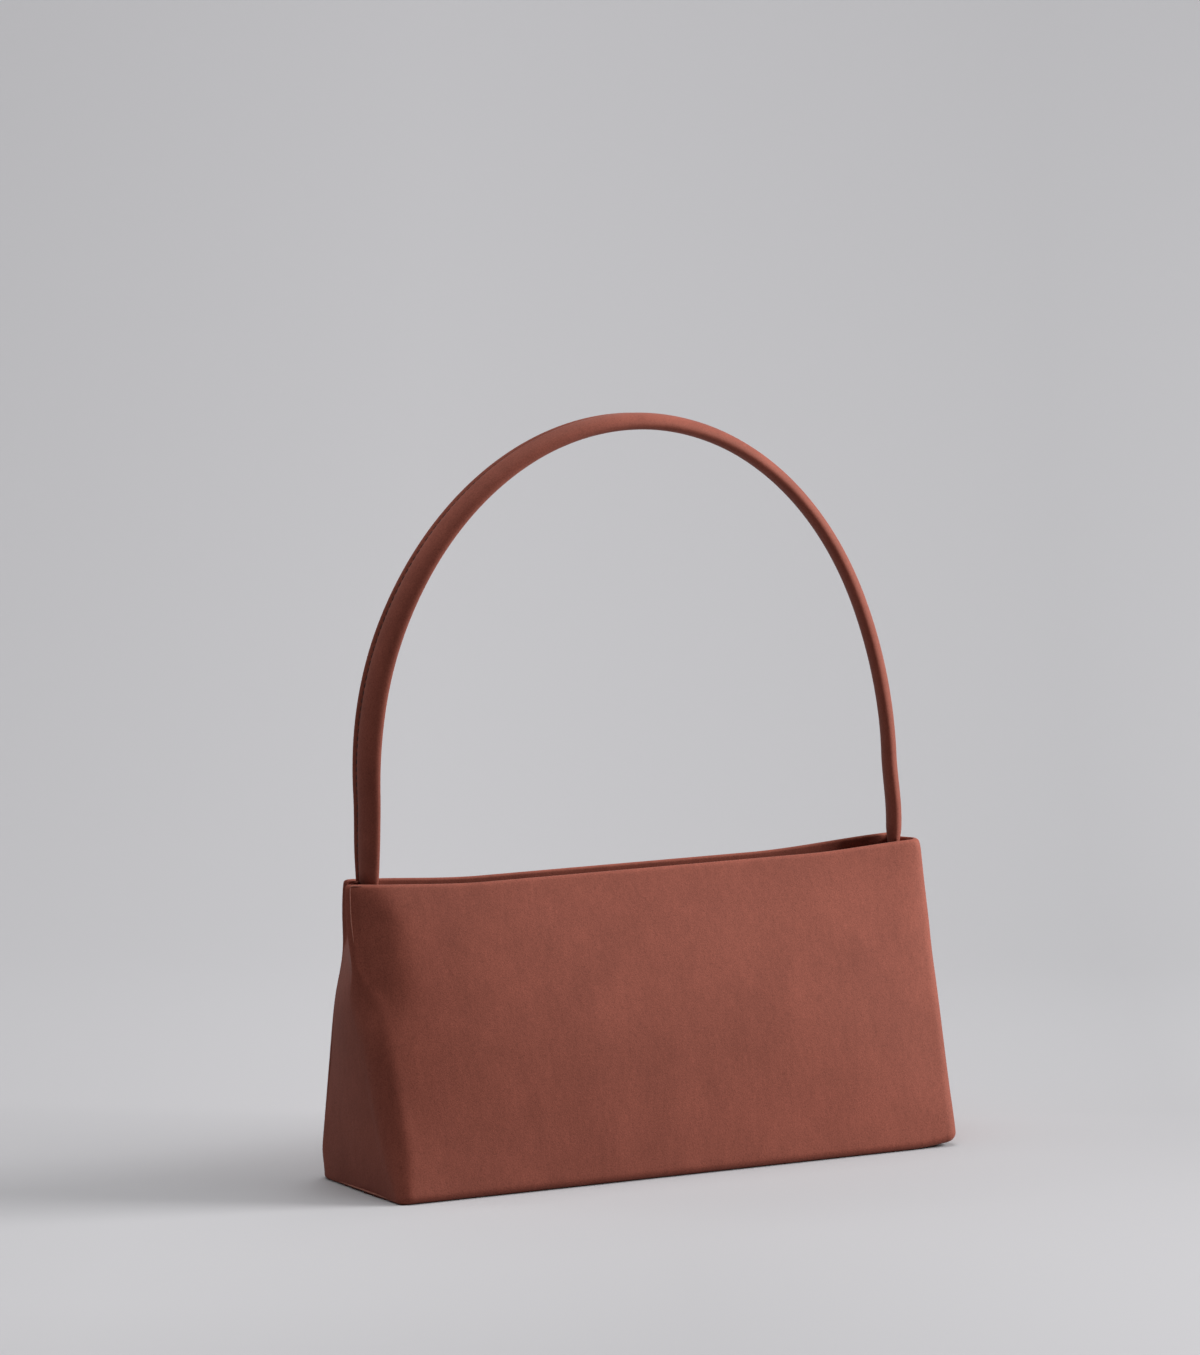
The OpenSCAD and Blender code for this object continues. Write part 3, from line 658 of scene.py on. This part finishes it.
def tape_point(zone, way, row, x):
    (kind, share), seat = row, FACING_FACE + TAPE_T / 2 + TAPE_GAP
    corner = wall_at(zone, x, ZIP_Z, seat) - way * TAPE_BEND_R
    if kind == "level":
        y = along(ZIP_Y + way * TEETH_EDGE, corner, share)
        loose = ramp((abs(y - ZIP_Y) - SAG_FROM) / SAG_OVER) * ramp((1 - share) / SAG_EDGE_SHARE)
        loose *= SAG_LEAST_SHARE + noise.noise(Vector((x / SAG_LEN, way * SAG_APART, SAG_START)))
        return Vector((x, y, ZIP_Z - TAPE_SAG * loose))
    if kind == "bend":
        turn = share * math.pi / 2
        y = corner + way * TAPE_BEND_R * math.sin(turn)
        return Vector((x, y, ZIP_Z - TAPE_BEND_R * (1 - math.cos(turn))))
    z = ZIP_Z - TAPE_BEND_R - share * (TAPE_TURN + TAPE_T / 2 - TAPE_BEND_R)
    return Vector((x, wall_at(zone, x, z, seat), z))


for zone, way in (("front", -1), ("back", 1)):
    tape = formed_sheet(f"zip_tape_{zone}_weave", tape_columns, tape_rows,
                        lambda row, x: tape_point(zone, way, row, x))
    turn_outwards(tape)
    thicken(tape, TAPE_T, offset=0)
    dress(tape, tape_weave)
    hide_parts(f"zip_tape_{zone}")
    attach(tape, "bag")

# Each end of the zip is finished with a suede tab with rounded corners, folded over the ends of both
# tapes. Its stitches come with those of the handle.
TAB_IN, TAB_OUT, TAB_T, TAB_OPEN, TAB_SHUT, TAB_CLOSE_LEN = 108.9, 129.2, 1, 0.9, 0.53, 3
TAB_CUT, TAB_CUT_SHARE, TAB_GAP, TAB_STEPS, TAB_FOLD_STEPS = 1.6, 0.25, 0.75, 12, 6
tab_rows = [("top", k / TAB_STEPS) for k in range(TAB_STEPS + 1)]
tab_rows += [("fold", k / TAB_FOLD_STEPS) for k in range(1, TAB_FOLD_STEPS)]
tab_rows += [("bottom", 1 - k / TAB_STEPS) for k in range(TAB_STEPS + 1)]


def tab_point(side, row, across):
    kind, share = row
    cut = TAB_CUT * (max(0, abs(2 * across - 1) - 1 + TAB_CUT_SHARE) / TAB_CUT_SHARE) ** 2
    fold_x = TAB_OUT - TAB_T / 2 - TAB_SHUT
    x = along(TAB_IN + cut, fold_x, share)
    height = along(TAB_OPEN, TAB_SHUT, ramp((x - TAPE_HALF) / TAB_CLOSE_LEN)) * (1 if kind == "top" else -1)
    if kind == "fold":
        turn = share * math.pi
        x, height = fold_x + TAB_SHUT * math.sin(turn), TAB_SHUT * math.cos(turn)
    edge = FACING_FACE + TAPE_T + TAB_GAP
    near, far = (wall_at(zone, side * x, ZIP_Z + TAB_OPEN + TAB_T / 2, edge) for zone in ("front", "back"))
    return Vector((side * x, along(near, far, across), ZIP_Z + height))


for name, side in (("zip_end_tab_left", LEFT), ("zip_end_tab_right", RIGHT)):
    tab = formed_sheet(name + "_suede", [k / TAB_STEPS for k in range(TAB_STEPS + 1)], tab_rows,
                       lambda row, across: tab_point(side, row, across))
    turn_outwards(tab)
    thicken(tab, TAB_T, offset=0)
    dress(tab, facing_suede)
    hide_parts(name)
    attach(tab, "bag")

# The teeth, the stops, the slider and the pull of the zip are dull aged brass. The teeth and stops are
# crimped on the tapes' edges, and the slider is cast.


def aged_brass(name, colour, roughness):
    """Dull zip metal with fine wear."""
    material, tree, shader = node_setup(name)
    wear = noise_at(tree, mapped(tree), 700, 4, 0.6)
    shade = spread(tree, wear, NOISE_LOW, NOISE_HIGH, 0, 1)
    tree.links.new(tinted(tree, toned(colour, 0.6), toned(colour, 1.3), shade), shader.inputs["Base Color"])
    dulled = spread(tree, wear, NOISE_LOW, NOISE_HIGH, roughness, roughness + 0.18)
    tree.links.new(dulled, shader.inputs["Roughness"])
    set_inputs(shader, {"Metallic": 1})
    bumped(tree, shader, wear, strength=0.15, distance=0.0001)
    return material


zip_brass = aged_brass("zip brass", (0.27, 0.19, 0.11), 0.42)
for name in ("zip_teeth_front", "zip_teeth_back", "zip_top_stops", "zip_bottom_stop",
             "zip_slider", "zip_pull"):
    dress(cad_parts[name], zip_brass)

# The handle is a suede sleeve over a soft filler cord, closed by one row of stitches along its back
# edge, which leaves a flat border. Its flat ends go down inside the mouth and are sewn to the facing.
LEG_X, ROOT_OUT, SPRING_Z, ARCH_RISE = 130, {LEFT: 0.7, RIGHT: 1.8}, 169, 152.5
ROOT_Y, ARCH_LEAN, LEAN_FROM, LEAN_H = 8.0, 5.2, 134, 105
PIVOT_Z, TAB_FOOT, TAB_X, TAB_END_Z, ROOT_H = 139.3, 107, 130.8, 118, 12
ROOT_TURN, LEG_TURN, TOP_TURN, TURN_Z, ROOT_TURN_H = 18, 29, 15, 205, 13
NARROW_SHARE, NARROW_Z, NARROW_H = 0.84, 124, 26
THIN_SHARE, THIN_Z, THIN_H = 0.42, 121, 16
FOOT_STEPS, LEG_STEPS, ARCH_STEPS = 16, 68, 280
STITCH_PITCH, STITCH_D, PUCKER_W, PUCKER_SHARE = 3.2, 4.7, 1.3, 0.2
HALF_SECTION = [
    (7.0, 0), (6.95, 0.5), (6.8, 0.88), (6.4, 1.12), (5.9, 1.18), (5.4, 1.08), (5.0, 0.84), (STITCH_D, 0.7),
    (4.35, 0.95), (3.9, 1.5), (3.0, 2.22), (1.6, 2.85), (0, 3.2), (-1.5, 3.32), (-3.2, 3.15), (-4.8, 2.62),
    (-6.0, 1.84), (-6.8, 0.95), (-7.1, 0)]
strap_section = HALF_SECTION + [(d, -n) for d, n in reversed(HALF_SECTION[:-1])]


def leg(side):
    """One leg of the strap, from its foot up to where the arch springs."""
    points = [(side * TAB_X, along(TAB_FOOT, TAB_END_Z, k / FOOT_STEPS)) for k in range(FOOT_STEPS)]
    for k in range(LEG_STEPS):
        z = along(TAB_END_Z, SPRING_Z, k / LEG_STEPS)
        root = along(TAB_X, LEG_X + ROOT_OUT[side], ramp((z - TAB_END_Z) / ROOT_H))
        points.append((side * along(root, LEG_X, ramp((z - PIVOT_Z) / (SPRING_Z - PIVOT_Z))), z))
    return points


def strap_line():
    """Points of the strap from its left foot over the arch to its right foot."""
    turns = [math.pi * k / ARCH_STEPS for k in range(ARCH_STEPS + 1)]
    arch = [(-LEG_X * math.cos(turn), SPRING_Z + ARCH_RISE * math.sin(turn)) for turn in turns]
    return leg(LEFT) + arch + leg(RIGHT)[::-1]


strap_places = strap_line()
strap_ways = []
for k in range(len(strap_places)):
    a, b = strap_places[max(0, k - 1)], strap_places[min(len(strap_places) - 1, k + 1)]
    strap_ways.append(Vector((b[0] - a[0], b[1] - a[1])).normalized())
strap_lengths = [0]
for a, b in zip(strap_places, strap_places[1:]):
    strap_lengths.append(strap_lengths[-1] + math.hypot(b[0] - a[0], b[1] - a[1]))


def strap_turn(z):
    """How far the strap is turned about its own length, in degrees, at one height."""
    if z < PIVOT_Z:
        return ROOT_TURN * ramp((z - TAB_END_Z) / ROOT_TURN_H)
    if z < TURN_Z:
        return along(ROOT_TURN, LEG_TURN, ramp((z - PIVOT_Z) / (TURN_Z - PIVOT_Z)))
    return along(LEG_TURN, TOP_TURN, ramp((z - TURN_Z) / (SPRING_Z + ARCH_RISE - TURN_Z)))


def strap_point(k, q, beyond=0.0):
    """Place of a point of the section at one step of the strap, or a little beyond it."""
    (x, z), way = strap_places[k], strap_ways[k]
    turn = math.radians(strap_turn(z))
    d = q[0] * along(NARROW_SHARE, 1, ramp((z - NARROW_Z) / NARROW_H))
    n = q[1] * along(THIN_SHARE, 1, ramp((z - THIN_Z) / THIN_H))
    across = d * math.sin(turn) + n * math.cos(turn)
    depth = d * math.cos(turn) - n * math.sin(turn)
    y = ROOT_Y + ARCH_LEAN * ramp((z - LEAN_FROM) / LEAN_H)
    centre = Vector((x, y, z)) + Vector((way.x, 0, way.y)) * beyond
    return centre + Vector((-way.y * across, depth, way.x * across))


def pucker(q, length):
    """The sleeve pulls in at each stitch."""
    near = math.exp(-((q[0] - STITCH_D) / PUCKER_W) ** 2)
    pull = 0.5 + 0.5 * math.cos(2 * math.pi * length / STITCH_PITCH)
    return q[0], q[1] * (1 - PUCKER_SHARE * near * pull)


strap = formed_sheet("strap", strap_section, range(len(strap_places)),
                     lambda k, q: strap_point(k, pucker(q, strap_lengths[k])))
weld(strap, within=0.01, close_ends=True)
turn_outwards(strap)
bpy.ops.object.shade_smooth()
dress(strap, suede("strap suede", toned(CHESTNUT, 0.95), (0.3, 0.3, 0.3)))
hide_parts("handle_cover", "handle_core", "handle_tab_left", "handle_tab_right")
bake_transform(strap)

# Dark thread holds the sleeve closed: stitches of about 3 mm are sunk into the groove between the padding
# and the flat border, on both faces of the handle. A short row is sewn across each end tab of the zip too.
STITCH_LEN, STITCH_R, STITCH_OUT = 2.3, 0.27, 0.72
TAB_STITCH_LEN, TAB_STITCHES, TAB_STITCH_SHARE, TAB_ROW_SHARE, TAB_STITCH_OUT = 1.7, 5, 0.18, 0.13, 0.05
thread, thread_tree, thread_shader = node_setup("dark thread")
twist = add_node(thread_tree, "ShaderNodeTexWave", Scale=900, Distortion=1.0)
thread_tree.links.new(mapped(thread_tree), twist.inputs["Vector"])
thread_tree.links.new(tinted(thread_tree, (0.022, 0.01, 0.009), (0.05, 0.022, 0.018), twist.outputs["Fac"]),
                      thread_shader.inputs["Base Color"])
set_inputs(thread_shader, {"Roughness": 0.7})
bpy.ops.object.select_all(action="DESELECT")
bpy.ops.mesh.primitive_uv_sphere_add(segments=6, ring_count=6, radius=STITCH_R * MM)
one_stitch = bpy.context.active_object
bpy.ops.transform.resize(value=(1, 1, STITCH_LEN / 2 / STITCH_R))
bpy.ops.object.transform_apply(scale=True)
bpy.ops.object.shade_smooth()


def at_length(length):
    """The step of the strap that lies before a length along it, and how far the length is beyond it."""
    for k in range(len(strap_lengths) - 1):
        if strap_lengths[k + 1] >= length:
            return k, length - strap_lengths[k]
    return len(strap_lengths) - 1, 0


def lay_stitches(name, places, length):
    """One joined piece of stitches, each centred at a place and pointing along a direction."""
    stitches = []
    for centre, way in places:
        copy = one_stitch.copy()
        copy.data = one_stitch.data.copy()
        bpy.context.scene.collection.objects.link(copy)
        turned = way.to_track_quat("Z", "Y").to_matrix().to_4x4()
        sized = Matrix.Diagonal((1, 1, length / STITCH_LEN, 1))
        copy.matrix_world = Matrix.Translation(centre * MM) @ turned @ sized
        stitches.append(copy)
    bpy.ops.object.select_all(action="DESELECT")
    for stitch in stitches:
        stitch.select_set(True)
    bpy.context.view_layer.objects.active = stitches[0]
    bpy.ops.object.join()
    joined = bpy.context.active_object
    joined.name = joined.data.name = name
    bpy.ops.object.transform_apply(location=True, rotation=True, scale=True)
    dress(joined, thread)
    return joined


handle_places = []
for i in range(int(strap_lengths[-1] / STITCH_PITCH)):
    k, beyond = at_length((i + 0.5) * STITCH_PITCH)
    if strap_places[k][1] > TAB_END_Z:
        way = Vector((strap_ways[k].x, 0, strap_ways[k].y))
        handle_places += [(strap_point(k, (STITCH_D, STITCH_OUT * face), beyond), way) for face in (1, -1)]
handle_stitches = lay_stitches("handle_stitches", handle_places, STITCH_LEN)
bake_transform(handle_stitches)
tab_places = []
for side in (LEFT, RIGHT):
    for k in range(TAB_STITCHES):
        across = 0.5 + TAB_STITCH_SHARE * (k - (TAB_STITCHES - 1) / 2)
        centre = tab_point(side, ("top", TAB_ROW_SHARE), across) + Vector((0, 0, TAB_T / 2 + TAB_STITCH_OUT))
        tab_places.append((centre, Vector((0, 1, 0))))
tab_stitches = lay_stitches("tab_stitches", tab_places, TAB_STITCH_LEN)
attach(tab_stitches, "bag")
bpy.data.objects.remove(one_stitch)

# The studio: a pale grey sweep of paper that is the floor and, close behind the bag, the backdrop, one
# large soft light from the right, a weak one from the back left, and soft light all round. The paper's
# colour holds painted shade on the right, where the light from the right falls strongest, and painted light
# in its front left corner. The paper has one side, so that it hides nothing when it is seen from behind.
FLOOR_FRONT, FLOOR_NEAR, FLOOR_BACK, SWEEP_R, SWEEP_HALF_W = -4.0, -3.6, 0.55, 0.9, 6
FLOOR_STEPS, SWEEP_STEPS, WALL_MIDDLE, WALL_TOP, SWEEP_TURN, PATTERN_TURN = 8, 18, 2.0, 5.0, -28.5, 29.7
# Paper colours: plain, darker on the right as painted shade where the light from the right falls, lighter at
# the front left as painted light, and dimmer for the light it bounces.
PAPER, PAPER_PAINTED_SHADE = (0.53, 0.525, 0.54), (0.375, 0.372, 0.383)
PAPER_PAINTED_LIGHT, PAPER_BOUNCE = (0.61, 0.604, 0.62), (0.3, 0.3, 0.31)
LAMP_ACROSS, LAMP_NEAR, LAMP_BEHIND, LAMP_LEFT_OVER = (-0.12, 0.24), (-0.4, 0.12), (0.5, 1.6), 0.3
FAR_ACROSS, FAR_NEAR = (0.02, -0.22), (0.06, -0.3)
sweep_line = [(FLOOR_FRONT, 0)]
sweep_line += [(along(FLOOR_NEAR, FLOOR_BACK, k / FLOOR_STEPS), 0) for k in range(FLOOR_STEPS + 1)]
for k in range(1, SWEEP_STEPS + 1):
    turn = math.radians(90 * k / SWEEP_STEPS)
    sweep_line.append((FLOOR_BACK + SWEEP_R * math.sin(turn), SWEEP_R - SWEEP_R * math.cos(turn)))
sweep_line += [(FLOOR_BACK + SWEEP_R, z) for z in (WALL_MIDDLE, WALL_TOP)]
bpy.ops.object.select_all(action="DESELECT")
bpy.ops.mesh.primitive_grid_add(x_subdivisions=2, y_subdivisions=len(sweep_line) - 1, size=2)
sweep = bpy.context.active_object
sweep.name = sweep.data.name = "paper_sweep"
for vertex in sweep.data.vertices:
    y, z = sweep_line[round((vertex.co.y + 1) / 2 * (len(sweep_line) - 1))]
    vertex.co = Vector((vertex.co.x * SWEEP_HALF_W, y, z))
bpy.ops.object.shade_smooth()
sweep.data.transform(Matrix.Rotation(math.radians(SWEEP_TURN), 4, "Z"))
paper, paper_tree, paper_shader = node_setup("paper")
apart = add_node(paper_tree, "ShaderNodeSeparateXYZ")
paper_tree.links.new(mapped(paper_tree, rotation=(0, 0, math.radians(PATTERN_TURN))), apart.inputs[0])
to_right, to_back = apart.outputs["X"], apart.outputs["Y"]
# Painted shade on the right of the paper, fading up the backdrop, and painted light in its front left
# corner.
painted_shade_by_lamp = times(paper_tree, spread(paper_tree, to_right, *LAMP_ACROSS, 0, 1),
                    spread(paper_tree, to_back, *LAMP_NEAR, 0, 1),
                    spread(paper_tree, to_back, *LAMP_BEHIND, 1, LAMP_LEFT_OVER))
painted_light_front_left = times(paper_tree, spread(paper_tree, to_right, *FAR_ACROSS, 0, 1),
                   spread(paper_tree, to_back, *FAR_NEAR, 0, 1))
paper_with_painted_light = tinted(paper_tree, tinted(paper_tree, PAPER, PAPER_PAINTED_SHADE, painted_shade_by_lamp), PAPER_PAINTED_LIGHT, painted_light_front_left)
seen = add_node(paper_tree, "ShaderNodeLightPath")
looked_at = seen.outputs["Is Camera Ray"]
for ray in ("Is Glossy Ray", "Is Transmission Ray"):
    either = add_node(paper_tree, "ShaderNodeMath", operation="ADD", use_clamp=True)
    paper_tree.links.new(looked_at, either.inputs[0])
    paper_tree.links.new(seen.outputs[ray], either.inputs[1])
    looked_at = either.outputs[0]
paper_tree.links.new(tinted(paper_tree, PAPER_BOUNCE, paper_with_painted_light, looked_at), paper_shader.inputs["Base Color"])
set_inputs(paper_shader, {"Roughness": 0.9, "Specular IOR Level": 0.1})
face_side = add_node(paper_tree, "ShaderNodeNewGeometry")
clear = add_node(paper_tree, "ShaderNodeBsdfTransparent")
one_sided = add_node(paper_tree, "ShaderNodeMixShader")
paper_tree.links.new(face_side.outputs["Backfacing"], one_sided.inputs[0])
paper_tree.links.new(paper_shader.outputs[0], one_sided.inputs[1])
paper_tree.links.new(clear.outputs[0], one_sided.inputs[2])
paper_tree.links.new(one_sided.outputs[0], paper_tree.nodes["Material Output"].inputs["Surface"])
dress(sweep, paper)


def soft_light(name, place, target, size, power):
    data = bpy.data.lights.new(name, "AREA")
    data.shape, data.size, data.energy = "SQUARE", size, power
    lamp = bpy.data.objects.new(name, data)
    bpy.context.scene.collection.objects.link(lamp)
    lamp.location = place
    lamp.rotation_euler = (Vector(target) - Vector(place)).to_track_quat("-Z", "Y").to_euler()
    lamp.visible_camera = False


soft_light("key", place=(1.2, -0.44, 0.68), target=(0, 0, 0.1), size=0.6, power=24.5)
soft_light("top", place=(0.1, 0.2, 2.2), target=(0, 0.2, 0), size=1.6, power=30)
soft_light("back left", place=(-1.2, 1.0, 0.9), target=(-0.1, 0, 0.15), size=0.5, power=2.5)
world = bpy.data.worlds.new("studio air")
bpy.context.scene.world = world
world.use_nodes = True
set_inputs(world.node_tree.nodes["Background"], {"Color": (0.96, 0.97, 1.0, 1), "Strength": 0.14})

# The camera stands where the photograph was taken from, level with the handle and a little above it. Its
# place was fitted to the bag's corners in the picture, and its lens to their spacing.
AZIMUTH, PITCH, DISTANCE = math.radians(29.721), math.radians(7.387), 3.4
AIM_RIGHT, AIM_UP, FOCAL_PX, LONG_SIDE_PX, SENSOR, FAR_CLIP = -0.018624, 0.211449, 7899.4, 1355, 36, 30
ahead = Vector((math.sin(AZIMUTH) * math.cos(PITCH), math.cos(AZIMUTH) * math.cos(PITCH), -math.sin(PITCH)))
rightwards = Vector((math.cos(AZIMUTH), -math.sin(AZIMUTH), 0))
camera_data = bpy.data.cameras.new("camera")
camera_data.sensor_width = SENSOR
camera_data.lens = SENSOR * FOCAL_PX / LONG_SIDE_PX
camera_data.clip_end = FAR_CLIP
camera = bpy.data.objects.new("camera", camera_data)
bpy.context.scene.collection.objects.link(camera)
camera.location = rightwards * AIM_RIGHT + Vector((0, 0, AIM_UP)) - ahead * DISTANCE
camera.rotation_euler = ahead.to_track_quat("-Z", "Y").to_euler()
bpy.context.scene.camera = camera
bpy.context.scene.view_settings.view_transform = "Standard"
